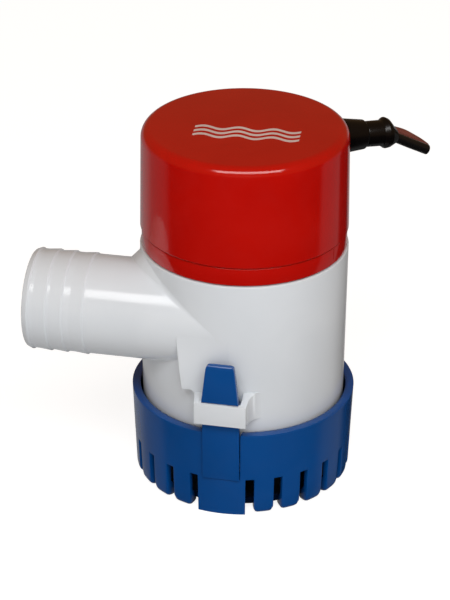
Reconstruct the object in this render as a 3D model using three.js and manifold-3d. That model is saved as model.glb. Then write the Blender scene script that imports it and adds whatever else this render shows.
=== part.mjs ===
// A small submersible bilge pump: a slotted strainer that is screwed to the hull, a pump body with a
// tangential hose outlet that snaps onto it, and a sealed direct-current motor under a welded cap.
// Millimetres, +Z up. The pump's axis is Z, the hull is at z = 0, the outlet points along -X and the
// two snap latches are at -Y (front) and +Y (rear).

import * as THREE from "three";
import { mergeVertices } from "three/addons/utils/BufferGeometryUtils.js";
import Module from "manifold-3d";

const wasm = await Module();
wasm.setup();

// ---- Driving dimensions ----

const GAP = 0.3; // between pieces that touch in the real pump
const SIDES = 64; // facets round the large shells
const SMALL_SIDES = 32; // facets round the motor
const TINY_SIDES = 20; // facets round the shaft and its bearings
const GLAND_SIDES = 24; // facets round the gland
const OUT_OF_REACH = 20; // how far a cutting shape runs past what it cuts

const STRAINER = {
  footRadius: 31.7,
  rimRadius: 32.8,
  innerRadius: 30.4,
  height: 27.2,
  floorLow: 1.9,
  floorHigh: 3.9,
  edgeRound: 3,
  slotPitch: 15,
  slotWidth: 2.6,
  slotTop: 12,
  slotInner: 27.4,
  toothInner: 28.2,
  centreFoot: 7,
  screwRadius: 2.2,
  screwAt: 17,
  firstRest: 37.5,
  restInner: 26.5,
  restWidth: 2,
};

const BODY = {
  low: 13,
  high: 73.55,
  lowRadius: 29.6,
  highRadius: 30.1,
  innerRadius: 27.9,
};

const OUTLET = {
  end: -59.07,
  y: -15.4,
  z: 56.3,
  valley: 14.48,
  crest: 14.9,
  endRadius: 14.26,
  bore: 12.3,
  crests: 4,
  firstCrest: 1.3,
  crestPitch: 5.48,
  ramp: 3.3,
  drop: 1.5,
};

const LOOP = {
  low: 31.4,
  high: 38,
  front: 35,
  wall: 1.5,
  left: -7.4,
  right: 7.6,
  arm: 1.7,
  flare: 4,
  flareCentre: -31.6,
  armRise: 1.8,
};

const FINGER = {
  halfWidth: 5.15,
  root: 12.5,
  hookLow: 38.3,
  top: 50.8,
  topHalfWidth: 3.95,
  face: 33.2,
  hookFace: 34.6,
  thickness: 1.6,
  lean: 0.7,
};

const CAP = {
  low: 79.35,
  high: 109.4,
  lowRadius: 30,
  topRadius: 29.55,
  wall: 2,
  edgeRound: 3,
};

const HOUSING = {
  bandLow: 73.85,
  bandHigh: 79.05,
  bandRadius: 29.6,
  spigotRadius: 27.55,
  spigotLow: 66,
  cupOuter: 20.6,
  cupInner: 18.6,
  low: 27,
  floor: 29.6,
  floorLip: 0.6,
  pocketDepth: 1.4,
  sealPocket: 6.6,
  shaftHole: 3.6,
  grooveRadius: 25.5,
  grooveLow: 68.8,
  grooveHigh: 71.2,
  trough: 23.5,
  troughLow: 68.4,
};

const MOTOR = {
  canRadius: 18.2,
  canWall: 1.1,
  low: 30,
  high: 88,
  shaftRadius: 1.6,
  shaftLow: 17.5,
  shaftHigh: 88.2,
  bearingRadius: 3.3,
  coreRadius: 13.2,
  coreLow: 42,
  coreHigh: 70,
  poles: 5,
  poleShoe: 1.7,
  hubRadius: 4.6,
  commutatorRadius: 4.3,
  commutatorLow: 74.7,
  commutatorHigh: 82,
  canFloor: 1.2,
  bearingNeck: 4.8,
  magnetHalfArc: 65,
  coilInner: 3.4,
  coilOuter: 12.4,
  endTurn: 4,
  bellLow: 84,
  brushInner: 4.7,
  brushOuter: 8.7,
  brushLow: 76.5,
  brushHigh: 80.5,
  terminalAt: 9,
  terminalLow: 84.2,
  terminalHigh: 93.9,
};

const SHAFT_HOLE = MOTOR.shaftRadius + GAP;
const TERMINAL_HALF = 2.4; // half of a terminal's width

const IMPELLER = {
  radius: 20,
  low: 16,
  plateLow: 23,
  plateHigh: 24.6,
  hubRadius: 4.8,
  hubHigh: 25.2,
  vanes: 6,
  sweep: 55,
  vane: 1.4,
};

const INLET = { eye: 9.5, low: 13.1, high: 15.1 };

const SEAL = { outer: 6.3, low: 26.6, high: 28.7, retainerInner: 3.2, retainerLow: 25.9, retainerHigh: 26.3 };

const GLAND = {
  azimuth: 36,
  height: 100.9,
  droop: 6,
  surface: 29.8,
  shank: 4.2,
  shankStart: -7,
  root: 5.1,
  tip: 4.25,
  flangeEnd: 7.8,
  nutRadius: 6.4,
  nutLow: -6.2,
  nutHigh: -3.3,
};

const LEAD_RADIUS = 1.5;

const WHITE = 0xd8d8d6;
const BLUE = 0x0a4a8c;
const RED = 0xa31212;
const BLACK = 0x0c0a0a;
const BROWN = 0x6e3a33;
const STEEL = 0x9ea2a6;
const BRASS = 0xb08d4a;
const BRONZE = 0x8c6a3f;
const COPPER = 0xa8582f;
const CARBON = 0x2b2b2d;
const FERRITE = 0x3a3a3c;
const LAMINATION = 0x6b6e72;

// ---- Shapes ----

const radians = THREE.MathUtils.degToRad;

// A closed geometry as a solid that can be joined and cut.
function toSolid(geometry) {
  const bare = geometry.index ? geometry.toNonIndexed() : geometry.clone();
  bare.deleteAttribute("normal");
  bare.deleteAttribute("uv");
  const merged = mergeVertices(bare, 1e-4);
  return new wasm.Manifold(
    new wasm.Mesh({
      numProp: 3,
      vertProperties: merged.attributes.position.array,
      triVerts: new Uint32Array(merged.index.array),
    }),
  );
}

function toGeometry(solid) {
  const mesh = solid.getMesh();
  const geometry = new THREE.BufferGeometry();
  geometry.setAttribute("position", new THREE.BufferAttribute(mesh.vertProperties, mesh.numProp));
  geometry.setIndex(new THREE.BufferAttribute(mesh.triVerts, 1));
  geometry.computeVertexNormals();
  return geometry;
}

// An outline of [radius, height] pairs turned about Z. It runs outwards along its bottom and back
// along its top, and either starts and ends on the axis or closes on itself.
function turned(outline, sides = SIDES) {
  const points = outline.map(([radius, height]) => new THREE.Vector2(radius, height));
  if (outline[0][0] > 0) points.push(points[0].clone());
  return new THREE.LatheGeometry(points, sides).rotateX(Math.PI / 2);
}

function disc(radius, low, high, sides = SIDES) {
  return turned([[0, low], [radius, low], [radius, high], [0, high]], sides);
}

function ring(inner, outer, low, high, sides = SIDES) {
  return turned([[inner, low], [outer, low], [outer, high], [inner, high]], sides);
}

function block([x0, x1], [y0, y1], [z0, z1]) {
  const box = new THREE.BoxGeometry(x1 - x0, y1 - y0, z1 - z0);
  return box.translate((x0 + x1) / 2, (y0 + y1) / 2, (z0 + z1) / 2);
}

// An outline of [x, y] pairs, anticlockwise from above, raised from low to high.
function prism(outline, low, high) {
  const shape = new THREE.Shape(outline.map(([x, y]) => new THREE.Vector2(x, y)));
  const geometry = new THREE.ExtrudeGeometry(shape, { depth: high - low, bevelEnabled: false });
  return geometry.translate(0, 0, low);
}

// An outline of [x, z] pairs standing in the XZ plane, from y = near back to y = far.
function standing(outline, near, far) {
  return prism(outline, -far, -near).rotateX(Math.PI / 2);
}

// The points of an arc about [x, y], from one angle in degrees to another.
function arc(x, y, radius, from, to, steps) {
  const points = [];
  for (let i = 0; i <= steps; i++) {
    const angle = radians(from + ((to - from) * i) / steps);
    points.push([x + radius * Math.cos(angle), y + radius * Math.sin(angle)]);
  }
  return points;
}

// The same solid at even spacing about Z.
function around(count, make) {
  let all = make(0);
  for (let i = 1; i < count; i++) all = all.add(make((360 / count) * i));
  return all;
}

function turnedAbout(geometry, degrees) {
  return geometry.rotateZ(radians(degrees));
}

// ---- Materials ----

function moulded(color, roughness = 0.45) {
  return new THREE.MeshStandardMaterial({ color, roughness, metalness: 0 });
}

function metal(color, roughness = 0.35) {
  return new THREE.MeshStandardMaterial({ color, roughness, metalness: 1 });
}

// ---- Assembly ----

const pump = new THREE.Group();

function place(name, shape, material) {
  const geometry = shape.isBufferGeometry ? shape : toGeometry(shape);
  const mesh = new THREE.Mesh(geometry, material);
  mesh.name = name;
  pump.add(mesh);
}

// The strainer: a cup whose lower wall is cut into teeth, with a floor that screws to the hull.
function strainerBase() {
  const { footRadius, rimRadius, innerRadius, height, edgeRound } = STRAINER;
  const edge = arc(footRadius - edgeRound, edgeRound, edgeRound, -90, 0, 3);
  const shell = toSolid(turned([[0, 0], ...edge, [rimRadius, height], [0, height]]));
  const cavity = toSolid(disc(innerRadius, STRAINER.floorHigh, height + OUT_OF_REACH));
  const under = toSolid(
    ring(STRAINER.centreFoot, STRAINER.toothInner, -OUT_OF_REACH, STRAINER.floorLow),
  );
  let base = shell.subtract(cavity).subtract(under);

  const slotReach = [STRAINER.slotInner, footRadius + OUT_OF_REACH];
  const halfSlot = STRAINER.slotWidth / 2;
  const slot = (angle) =>
    toSolid(
      turnedAbout(block(slotReach, [-halfSlot, halfSlot], [-OUT_OF_REACH, STRAINER.slotTop]), angle),
    );
  for (let angle = 0; angle < 360; angle += STRAINER.slotPitch) {
    const atLatch = angle === 90 || angle === 270;
    if (!atLatch) base = base.subtract(slot(angle));
  }

  const notchHalf = FINGER.halfWidth + GAP;
  const notchDepth = [-rimRadius - OUT_OF_REACH, 1 - innerRadius];
  const notch = block([-notchHalf, notchHalf], notchDepth, [FINGER.root - GAP, height + OUT_OF_REACH]);
  base = base.subtract(toSolid(notch));
  base = base.subtract(toSolid(turnedAbout(notch.clone(), 180)));

  const { firstRest, restInner, restWidth, floorHigh } = STRAINER;
  const restHeight = [floorHigh - GAP, BODY.low - GAP];
  for (const angle of [firstRest, 180 - firstRest, 180 + firstRest, -firstRest]) {
    const rest = block([restInner, innerRadius + GAP], [-restWidth / 2, restWidth / 2], restHeight);
    base = base.add(toSolid(turnedAbout(rest, angle)));
  }
  for (const side of [-1, 1]) {
    const hole = disc(STRAINER.screwRadius, -OUT_OF_REACH, OUT_OF_REACH, 16);
    base = base.subtract(toSolid(hole.translate(side * STRAINER.screwAt, 0, 0)));
  }
  return base;
}

// A snap finger at the front: a strip that springs from its root, with a hook over the body's loop.
function latchFinger() {
  const { halfWidth, topHalfWidth, root, hookLow, top, face, hookFace, thickness } = FINGER;
  const rootFace = face - FINGER.lean;
  const outward = [
    [rootFace - thickness, root],
    [rootFace, root],
    [face, STRAINER.height],
    [face, hookLow],
    [hookFace, hookLow],
    [hookFace + 0.4, top - 0.8],
    [hookFace, top],
    [hookFace - thickness, top],
    [hookFace - thickness - 0.2, hookLow + 2],
    [face - thickness, hookLow - 2.3],
    [face - thickness, STRAINER.height],
  ];
  const side = standing(outward, -halfWidth, halfWidth).rotateZ(-Math.PI / 2);
  const front = standing(
    [
      [-halfWidth, root],
      [halfWidth, root],
      [halfWidth, hookLow],
      [topHalfWidth, top - 1],
      [topHalfWidth - 1, top],
      [1 - topHalfWidth, top],
      [-topHalfWidth, top - 1],
      [-halfWidth, hookLow],
    ],
    -face - OUT_OF_REACH,
    OUT_OF_REACH - face,
  );
  return toSolid(side).intersect(toSolid(front));
}

// The loop that a finger hooks over, seen from above. A flared arm widens back to the body on an arc.
function loopOutline(leftFlared) {
  const { left, right, front, flare, flareCentre } = LOOP;
  const rightFlare = arc(right + flare, flareCentre, flare, 180, 90, 4);
  const leftFlare = arc(left - flare, flareCentre, flare, 90, 0, 4);
  const leftArm = leftFlared ? leftFlare : [[left - 0.9, 2 - BODY.innerRadius]];
  return [[left, -front], [right, -front], ...rightFlare, ...leftArm];
}

function latchLoop(leftFlared) {
  const { low, high, front, wall, left, right, arm } = LOOP;
  const armTop = high + LOOP.armRise;
  const solid = toSolid(prism(loopOutline(leftFlared), low, armTop));
  const overTheArms = [
    [-front - 1, high],
    [wall - front, high],
    [1 - BODY.highRadius, armTop],
    [1 - BODY.highRadius, armTop + OUT_OF_REACH],
    [-front - 1, armTop + OUT_OF_REACH],
  ];
  const slope = standing(overTheArms, -OUT_OF_REACH, OUT_OF_REACH);
  const window = block([left + arm, right - arm], [wall - front, 0], [low - OUT_OF_REACH, armTop + 1]);
  return solid.subtract(toSolid(slope.rotateZ(Math.PI / 2))).subtract(toSolid(window));
}

// The hose barb: a round pipe with four low saw-tooth ridges.
function outletPipe() {
  const { end, valley, crest, endRadius, crests, firstCrest, crestPitch, ramp, drop } = OUTLET;
  const outline = [[0, 0], [endRadius, 0]];
  for (let i = 0; i < crests; i++) {
    const at = firstCrest + i * crestPitch;
    if (i > 0) outline.push([valley, at - ramp]);
    outline.push([crest, at], [valley, at + drop]);
  }
  outline.push([valley, -end], [0, -end]);
  return turned(outline, 40).rotateY(Math.PI / 2).translate(end, OUTLET.y, OUTLET.z);
}

// The flat wall that runs down from the front of the outlet, at a tangent to the body, to the loop.
function tangentWall() {
  const top = OUTLET.z;
  const inside = -24;
  const proud = -31;
  const armTop = LOOP.high + LOOP.armRise;
  const outline = [
    [-14, inside],
    [-14, proud - 0.2],
    [-7, proud + 0.2],
    [0, 0.08 - BODY.highRadius],
    [0, inside],
  ];
  const plan = prism(outline, LOOP.high - 2, top);
  const section = [
    [proud, LOOP.high - 2],
    [inside, LOOP.high - 2],
    [inside, top],
    [OUTLET.y - OUTLET.valley, top],
    [proud, top - 13.3],
  ];
  const side = standing(section, 0, 14);
  const left = [[-13.9, top], [-11.9, armTop], [-8.5, armTop], [-8.3, LOOP.high - 1.5]];
  const right = [[1, LOOP.high - 1.5], [1, top + 4]];
  const face = standing([...left, ...right], proud - OUT_OF_REACH, proud + OUT_OF_REACH);
  const sideways = side.rotateZ(Math.PI / 2);
  return toSolid(plan).intersect(toSolid(sideways)).intersect(toSolid(face));
}

// The pump body: a water jacket round the motor, its outlet, the latch loops and the wall that
// joins them.
function pumpBody() {
  const { low, high, lowRadius, highRadius, innerRadius } = BODY;
  let body = toSolid(turned([[0, low], [lowRadius, low], [highRadius, high], [0, high]]));
  body = body.add(toSolid(outletPipe()));
  body = body.add(tangentWall());
  body = body.add(latchLoop(false));
  body = body.add(toSolid(toGeometry(latchLoop(true)).rotateZ(Math.PI)));
  body = body.subtract(toSolid(disc(innerRadius, low - 1, high + 1)));
  const bore = disc(OUTLET.bore, 0, 1 - OUTLET.end, 40).rotateY(Math.PI / 2);
  return body.subtract(toSolid(bore.translate(OUTLET.end - 1, OUTLET.y, OUTLET.z)));
}

// The motor's watertight cup. Its flange is the red band under the cap, its spigot carries the seal
// ring, and its floor holds the shaft seal.
function motorHousing() {
  const { bandLow, bandHigh, bandRadius, spigotRadius, spigotLow, cupOuter, cupInner } = HOUSING;
  const { low, floor, floorLip, pocketDepth, sealPocket, shaftHole } = HOUSING;
  const { grooveRadius, grooveLow, grooveHigh, trough, troughLow } = HOUSING;
  const sides = 40;
  const outline = [
    [sealPocket, low - pocketDepth],
    [sealPocket + 2, low - pocketDepth],
    [sealPocket + 2, low],
    [cupOuter, low],
    [cupOuter, spigotLow],
    [spigotRadius, spigotLow],
    [spigotRadius, grooveLow],
    [grooveRadius, grooveLow],
    [grooveRadius, grooveHigh],
    [spigotRadius, grooveHigh],
    [spigotRadius, bandLow],
    [bandRadius, bandLow],
    [bandRadius, bandHigh],
    [trough, bandHigh],
    [trough, troughLow],
    [cupOuter, troughLow],
    [cupOuter, bandHigh],
    [cupInner, bandHigh],
    [cupInner, floor],
    [shaftHole, floor],
    [shaftHole, floor - floorLip],
    [sealPocket, floor - floorLip],
  ];
  return turned(outline, sides);
}

// The impeller: a hub and curved vanes under a round back plate. It turns clockwise from above.
function impeller() {
  const { radius, low, plateLow, plateHigh, hubRadius, hubHigh, vanes, sweep, vane } = IMPELLER;
  const steps = 6;
  const outline = [];
  const edge = (share, offset) => {
    const at = hubRadius - 1 + (radius - hubRadius + 0.8) * share;
    const angle = radians(sweep * share) + offset / at;
    return [at * Math.cos(angle), at * Math.sin(angle)];
  };
  for (let i = 0; i <= steps; i++) outline.push(edge(i / steps, -vane / 2));
  for (let i = steps; i >= 0; i--) outline.push(edge(i / steps, vane / 2));
  const blade = (angle) => toSolid(turnedAbout(prism(outline, low, plateLow + 0.5), angle));
  const blades = around(vanes, blade);
  const plate = toSolid(disc(radius, plateLow, plateHigh, 48));
  const hub = toSolid(disc(hubRadius, low, hubHigh, TINY_SIDES));
  const shaftHole = toSolid(disc(SHAFT_HOLE, 0, hubHigh + OUT_OF_REACH, TINY_SIDES));
  return plate.add(hub).add(blades).subtract(shaftHole);
}

// The steel can that carries the magnets, with a neck in its floor for the lower bearing.
function motorCan() {
  const { canRadius, canWall, canFloor, low, high, bearingRadius, bearingNeck } = MOTOR;
  const bearingHole = bearingRadius + GAP;
  return turned(
    [
      [bearingHole, low],
      [canRadius, low],
      [canRadius, high],
      [canRadius - canWall, high],
      [canRadius - canWall, low + canFloor],
      [bearingHole + canFloor, low + canFloor],
      [bearingHole + canFloor, low + bearingNeck],
      [bearingHole, low + bearingNeck],
    ],
    SMALL_SIDES * 1.5,
  );
}

// A ferrite magnet: an arc inside the can, centred on the given angle.
function magnet(centre) {
  const { magnetHalfArc, endTurn } = MOTOR;
  const outer = MOTOR.canRadius - MOTOR.canWall - GAP - 0.1;
  const airGap = 0.8;
  const inner = MOTOR.coreRadius + airGap;
  const outerArc = arc(0, 0, outer, -magnetHalfArc, magnetHalfArc, 16);
  const innerArc = arc(0, 0, inner, magnetHalfArc, -magnetHalfArc, 16);
  const outline = [...outerArc, ...innerArc];
  return turnedAbout(prism(outline, MOTOR.coreLow - endTurn, MOTOR.coreHigh + endTurn), centre);
}

// The laminated core: a hub with one T-shaped pole for each coil.
function armatureCore() {
  const { coreRadius, coreLow, coreHigh, poles, poleShoe, hubRadius } = MOTOR;
  const hub = toSolid(disc(hubRadius, coreLow, coreHigh, SMALL_SIDES));
  const armHalf = 1.6;
  const halfShoe = 29;
  const pole = (angle) => {
    const armReach = [hubRadius - 1, coreRadius - 1];
    const arm = toSolid(turnedAbout(block(armReach, [-armHalf, armHalf], [coreLow, coreHigh]), angle));
    const face = arc(0, 0, coreRadius, -halfShoe, halfShoe, 8);
    const shoe = [...face, ...arc(0, 0, coreRadius - poleShoe, halfShoe, -halfShoe, 8)];
    return arm.add(toSolid(turnedAbout(prism(shoe, coreLow, coreHigh), angle)));
  };
  const hole = toSolid(disc(SHAFT_HOLE, 0, coreHigh + OUT_OF_REACH, TINY_SIDES));
  return hub.add(around(poles, pole)).subtract(hole);
}

// The coils: end turns above and below the core, joined through the slots between its poles.
function armatureWindings() {
  const { coreLow, coreHigh, poles, coilInner, coilOuter, endTurn } = MOTOR;
  const turns = (low) => toSolid(ring(coilInner, coilOuter, low, low + endTurn, SMALL_SIDES));
  const lowTurns = turns(coreLow - GAP - endTurn);
  const highTurns = turns(coreHigh + GAP);
  const halfSlot = (radius) => radius * Math.sin(Math.PI / poles) - 2;
  const inner = 5.8;
  const outer = 10.2;
  const section = [
    [inner, -halfSlot(inner)],
    [outer, -halfSlot(outer)],
    [outer, halfSlot(outer)],
    [inner, halfSlot(inner)],
  ];
  const side = (angle) =>
    toSolid(turnedAbout(prism(section, coreLow - 1, coreHigh + 1), angle + 180 / poles));
  return lowTurns.add(highTurns).add(around(poles, side));
}

// The copper commutator, with a shallow cut between its segments.
function commutator() {
  const { commutatorRadius, commutatorLow: low, commutatorHigh: high, poles } = MOTOR;
  const riser = 0.8;
  const drum = toSolid(
    turned(
      [
        [SHAFT_HOLE, low],
        [commutatorRadius + 0.9, low],
        [commutatorRadius + 0.9, low + riser],
        [commutatorRadius, low + riser],
        [commutatorRadius, high],
        [SHAFT_HOLE, high],
      ],
      SMALL_SIDES,
    ),
  );
  const cutReach = [commutatorRadius - 0.5, commutatorRadius + OUT_OF_REACH];
  const cut = (angle) =>
    toSolid(turnedAbout(block(cutReach, [-0.2, 0.2], [low - 1, high + 1]), angle));
  return drum.subtract(around(poles, cut));
}

// The moulded end of the motor, with the upper bearing's hole and a slot for each terminal.
function endBell() {
  const radius = MOTOR.canRadius - MOTOR.canWall - GAP;
  const bell = toSolid(ring(MOTOR.bearingRadius + GAP, radius, MOTOR.bellLow, MOTOR.high, 48));
  const slotWidth = [-TERMINAL_HALF - GAP, TERMINAL_HALF + GAP];
  const slotDepth = [MOTOR.terminalAt - 0.7, MOTOR.terminalAt + 0.7];
  const slotHeight = [MOTOR.bellLow - 1, MOTOR.high + 1];
  const slot = (side) => toSolid(acrossGland(block(slotWidth, slotDepth, slotHeight), side));
  return bell.subtract(slot(1)).subtract(slot(-1));
}

// What stands either side of the gland's line: side 1 is on its left, seen from the axis.
function acrossGland(geometry, side) {
  return turnedAbout(geometry, GLAND.azimuth - 90 + (side > 0 ? 90 : -90));
}

// A brush spring: a copper leaf that hangs from the end bell and presses the brush on the commutator.
function brushSpring(side) {
  const thickness = 0.5;
  const back = MOTOR.brushOuter + 0.4;
  const foot = MOTOR.brushLow - 1;
  const bend = MOTOR.brushHigh + 0.3;
  const seat = MOTOR.bellLow - 1;
  const outline = [
    [back, foot],
    [back + thickness, foot],
    [back + thickness, bend],
    [back + 3.5, seat],
    [back + 5.1, seat],
    [back + 5.1, seat + thickness],
    [back + 3.3, seat + thickness],
    [back, bend + 0.3],
  ];
  return alongGland(standing(outline, -1.8, 1.8), side);
}

// What stands in line with the gland: side 1 faces it and side -1 faces away.
function alongGland(geometry, side) {
  return turnedAbout(geometry, GLAND.azimuth + (side > 0 ? 0 : 180));
}

// The domed cap over the motor's wiring, with a hole in its side for the gland.
function cap() {
  const { low, high, lowRadius, topRadius, wall, edgeRound } = CAP;
  const outerEdge = arc(topRadius - edgeRound, high - edgeRound, edgeRound, 0, 90, 4);
  const innerEdge = arc(topRadius - edgeRound, high - edgeRound, edgeRound - wall, 90, 0, 1);
  const skirt = [[lowRadius - wall, low], [lowRadius, low]];
  const shell = toSolid(turned([...skirt, ...outerEdge, [0, high], [0, high - wall], ...innerEdge]));
  return shell.subtract(toSolid(atGland(disc(GLAND.shank + GAP, -8, 8, TINY_SIDES))));
}

// Moves a shape made along +Z to the gland: its origin on the cap's side and +Z out of the gland.
function atGland(geometry) {
  const outwards = geometry.rotateY(Math.PI / 2 + radians(GLAND.droop));
  return turnedAbout(outwards.translate(GLAND.surface, 0, GLAND.height), GLAND.azimuth);
}

// The route of one lead. Its points are [distance from the pump's axis, height, half the spread
// between the leads], in the upright plane through the gland's axis.
const LEAD_ROUTES = {
  brown: [
    [0, 95.9, 9],
    [1.4, 99.4, 8.8],
    [7.5, 102.4, 6.2],
    [15, 102.7, 3.2],
    [22, 101.9, 1.9],
    [30, 101, 1.65],
    [34, 100.66, 1.65],
    [38, 100.3, 1.65],
    [43.5, 99.7, 1.65],
    [47.2, 98.8, 1.65],
    [49.5, 97.92, 1.65],
    [51.6, 96.9, 1.65],
    [54.3, 95.1, 1.65],
    [57, 93.1, 1.7],
    [59.2, 91.2, 1.75],
  ],
  black: [
    [0, 95.9, -9],
    [1.4, 99.2, -8.8],
    [7.5, 101.9, -6.2],
    [15, 102.1, -3.2],
    [22, 101.3, -1.9],
    [30, 100.4, -1.65],
    [34, 100.07, -1.65],
    [38, 99.7, -1.65],
    [43, 99.1, -1.65],
    [45, 98.68, -1.65],
    [47, 98.1, -1.65],
    [49.8, 96.6, -1.65],
    [52.5, 95.1, -1.65],
    [55.3, 93.6, -1.65],
    [57.9, 92.2, -1.65],
  ],
};

function leadCurve(route) {
  const heading = radians(GLAND.azimuth);
  const points = route.map(
    ([out, height, spread]) =>
      new THREE.Vector3(
        out * Math.cos(heading) - spread * Math.sin(heading),
        out * Math.sin(heading) + spread * Math.cos(heading),
        height,
      ),
  );
  return new THREE.CatmullRomCurve3(points);
}

function leadTube(route, radius) {
  const section = new THREE.Shape().absarc(0, 0, radius, 0, 2 * Math.PI);
  const settings = { steps: 14, curveSegments: 8, extrudePath: leadCurve(route), bevelEnabled: false };
  return new THREE.ExtrudeGeometry(section, settings);
}

// Bores both leads' passages through a piece of the gland.
function boredForLeads(solid) {
  let bored = solid;
  for (const route of Object.values(LEAD_ROUTES)) {
    bored = bored.subtract(toSolid(leadTube(route, LEAD_RADIUS + GAP)));
  }
  return bored;
}

// The gland's body: a shank through the cap's wall and a tapered flange that seats on the outside.
function glandBody() {
  const { shank: shankRadius, shankStart, root, tip, flangeEnd } = GLAND;
  const outline = [[0, -2], [root + 0.1, -2], [root, 0.5], [tip, flangeEnd], [0, flangeEnd]];
  const flange = toSolid(atGland(turned(outline, GLAND_SIDES)));
  const capSide = toSolid(disc(GLAND.surface + GAP, CAP.low, CAP.high + OUT_OF_REACH));
  const shank = toSolid(atGland(disc(shankRadius, shankStart, 1.5, GLAND_SIDES)));
  return boredForLeads(flange.subtract(capSide).add(shank));
}

// The nut that holds the gland from inside the cap.
function glandNut() {
  const hexagon = toSolid(atGland(disc(GLAND.nutRadius, GLAND.nutLow, GLAND.nutHigh, 6)));
  return hexagon.subtract(toSolid(atGland(disc(GLAND.shank + GAP, -8, 0, GLAND_SIDES))));
}

// The rubber boot on the end of the gland: a sleeve, a collar and a flattened mouth round the leads.
function glandBoot() {
  const sleeveRadius = 3.8;
  const collarRadius = 4.6;
  const start = GLAND.flangeEnd + GAP;
  const collarStart = 14.4;
  const collarEnd = 15.6;
  const outline = [
    [0, start],
    [sleeveRadius, start],
    [sleeveRadius, collarStart - 0.8],
    [collarRadius, collarStart],
    [collarRadius - 0.1, collarEnd],
    [0, collarEnd],
  ];
  const sleeve = toSolid(atGland(turned(outline, GLAND_SIDES)));
  const mouthLength = 2.6;
  const mouth = new THREE.CylinderGeometry(3.9, 4.4, mouthLength, GLAND_SIDES).rotateX(Math.PI / 2);
  const flattened = mouth.scale(0.72, 1, 1).translate(0.5, 0, collarEnd - 0.2 + mouthLength / 2);
  return boredForLeads(sleeve.add(toSolid(atGland(flattened))));
}

place("strainer_base", strainerBase(), moulded(BLUE));
place("latch_front", latchFinger(), moulded(BLUE));
place("latch_rear", toGeometry(latchFinger()).rotateZ(Math.PI), moulded(BLUE));

place("pump_body", pumpBody(), moulded(WHITE, 0.35));
const inletCover = ring(INLET.eye, BODY.innerRadius - 0.4, INLET.low, INLET.high, 48);
place("inlet_cover", inletCover, moulded(WHITE));
place("impeller", impeller(), moulded(WHITE));

place("motor_housing", motorHousing(), moulded(RED, 0.3));
const sealRing = new THREE.TorusGeometry(26.75, 0.85, 6, 48);
const grooveMiddle = (HOUSING.grooveLow + HOUSING.grooveHigh) / 2;
place("housing_seal", sealRing.translate(0, 0, grooveMiddle), moulded(BLACK, 0.8));
const shaftSeal = ring(SHAFT_HOLE, SEAL.outer, SEAL.low, SEAL.high, SMALL_SIDES);
place("shaft_seal", shaftSeal, moulded(BLACK, 0.8));
const { retainerInner, retainerLow, retainerHigh } = SEAL;
place("seal_retainer", ring(retainerInner, SEAL.outer, retainerLow, retainerHigh, SMALL_SIDES), metal(STEEL));

place("motor_can", motorCan(), metal(STEEL));
place("magnet_left", magnet(180), moulded(FERRITE, 0.7));
place("magnet_right", magnet(0), moulded(FERRITE, 0.7));
const shaft = disc(MOTOR.shaftRadius, MOTOR.shaftLow, MOTOR.shaftHigh, TINY_SIDES);
place("motor_shaft", shaft, metal(STEEL, 0.2));
place("armature_core", armatureCore(), metal(LAMINATION, 0.5));
place("armature_windings", armatureWindings(), metal(COPPER, 0.4));
place("commutator", commutator(), metal(COPPER, 0.3));
place("thrust_washer", ring(SHAFT_HOLE, 3, 35.1, 35.8, TINY_SIDES), moulded(WHITE));

const bearing = (low, high) => ring(SHAFT_HOLE, MOTOR.bearingRadius, low, high, TINY_SIDES);
place("lower_bearing", bearing(MOTOR.low + 0.2, MOTOR.low + 4.6), metal(BRONZE, 0.5));
place("upper_bearing", bearing(MOTOR.bellLow + 0.3, MOTOR.high - 0.3), metal(BRONZE, 0.5));

place("end_bell", endBell(), moulded(BLACK, 0.5));
const brushReach = [MOTOR.brushInner, MOTOR.brushOuter];
const brushHeight = [MOTOR.brushLow, MOTOR.brushHigh];
const terminalWidth = [-TERMINAL_HALF, TERMINAL_HALF];
const terminalDepth = [MOTOR.terminalAt - 0.4, MOTOR.terminalAt + 0.4];
const terminalHeight = [MOTOR.terminalLow, MOTOR.terminalHigh];
for (const [end, side] of [["left", -1], ["right", 1]]) {
  const brush = alongGland(block(brushReach, [-1.7, 1.7], brushHeight), side);
  const terminal = acrossGland(block(terminalWidth, terminalDepth, terminalHeight), side);
  place(`brush_${end}`, brush, moulded(CARBON, 0.6));
  place(`brush_spring_${end}`, brushSpring(side), metal(BRASS));
  place(`terminal_${end}`, terminal, metal(BRASS));
}

place("motor_cap", cap(), moulded(RED, 0.3));
place("gland_body", glandBody(), moulded(BLACK, 0.5));
place("gland_nut", glandNut(), moulded(BLACK, 0.5));
place("gland_boot", glandBoot(), moulded(BLACK, 0.6));
place("lead_brown", leadTube(LEAD_ROUTES.brown, LEAD_RADIUS), moulded(BROWN, 0.5));
place("lead_black", leadTube(LEAD_ROUTES.black, LEAD_RADIUS), moulded(BLACK, 0.5));

export default pump;
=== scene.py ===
# A submersible bilge pump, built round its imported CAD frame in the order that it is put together:
# strainer, latches, body, inlet and impeller, motor, motor housing, cap, gland and leads.
# Sizes in the sections are in millimetres, as on a drawing; each finished mesh is turned into metres.

import math

import bmesh
import bpy
from mathutils import Matrix, Quaternion, Vector


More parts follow.
